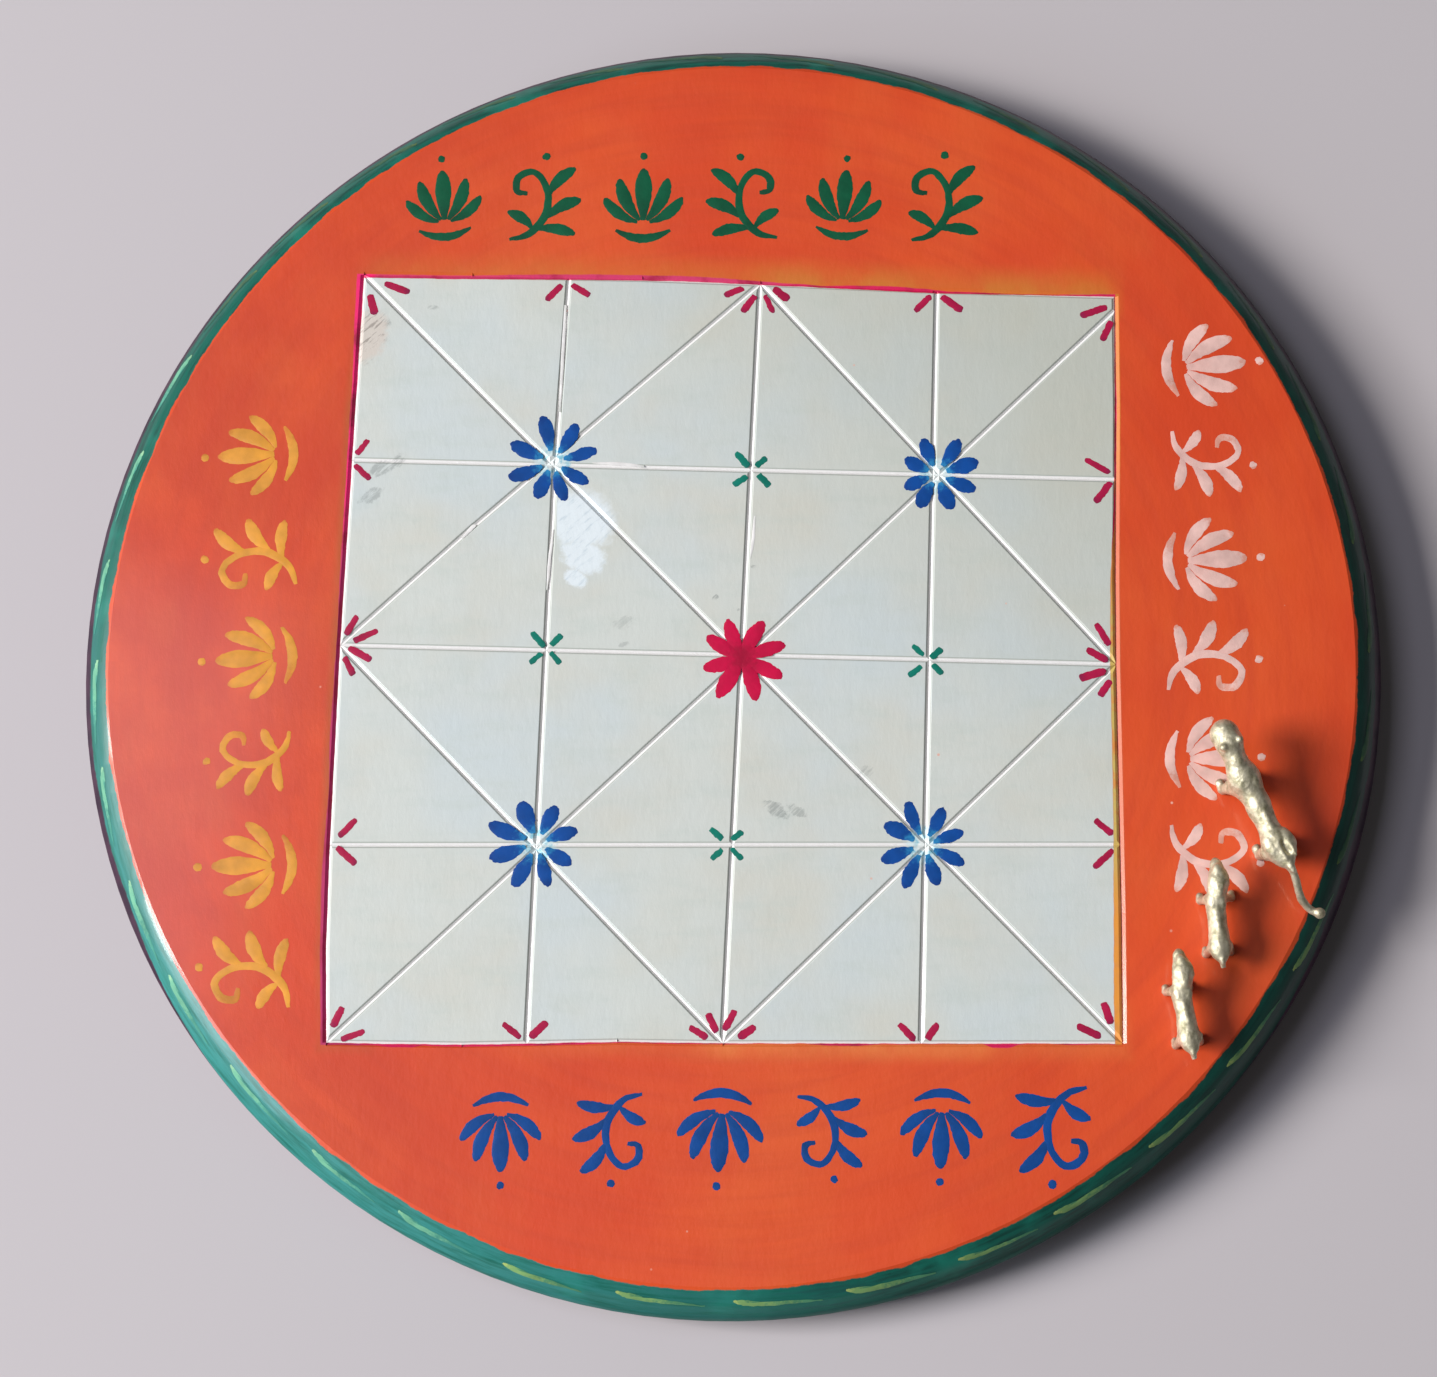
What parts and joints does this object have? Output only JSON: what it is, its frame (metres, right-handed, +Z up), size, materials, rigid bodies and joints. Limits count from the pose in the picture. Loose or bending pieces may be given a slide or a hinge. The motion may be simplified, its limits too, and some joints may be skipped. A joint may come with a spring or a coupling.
{
  "type": "bagh chal board",
  "caption": "Round painted wooden board with a grid of grooves cut in its top for the game of tigers and goats, and small cast brass animals that stand on it and lift off.",
  "frame": {"origin": "on the board's axis, at its flat underside", "axes": "+Z up out of the painted top; +Y across the board from the player's side to the far side; +X to the right"},
  "size_m": [0.3, 0.3, 0.0367],
  "materials": {
    "painted_wood": "brush-painted in orange, off-white and green under a gloss varnish",
    "cast_brass": "rough-cast, bright and slightly tarnished"
  },
  "bodies": {
    "board": {"board": "painted_wood"},
    "tiger": {"tiger": "cast_brass"},
    "goat_far": {"goat_far": "cast_brass"},
    "goat_near": {"goat_near": "cast_brass"}
  },
  "joints": [
    {"name": "tiger_lift", "type": "slide", "parent": "board", "child": "tiger", "axis": [0, 0, 1], "range_m": [0, 0.06]},
    {"name": "goat_far_lift", "type": "slide", "parent": "board", "child": "goat_far", "axis": [0, 0, 1], "range_m": [0, 0.06]},
    {"name": "goat_near_lift", "type": "slide", "parent": "board", "child": "goat_near", "axis": [0, 0, 1], "range_m": [0, 0.06]}
  ]
}
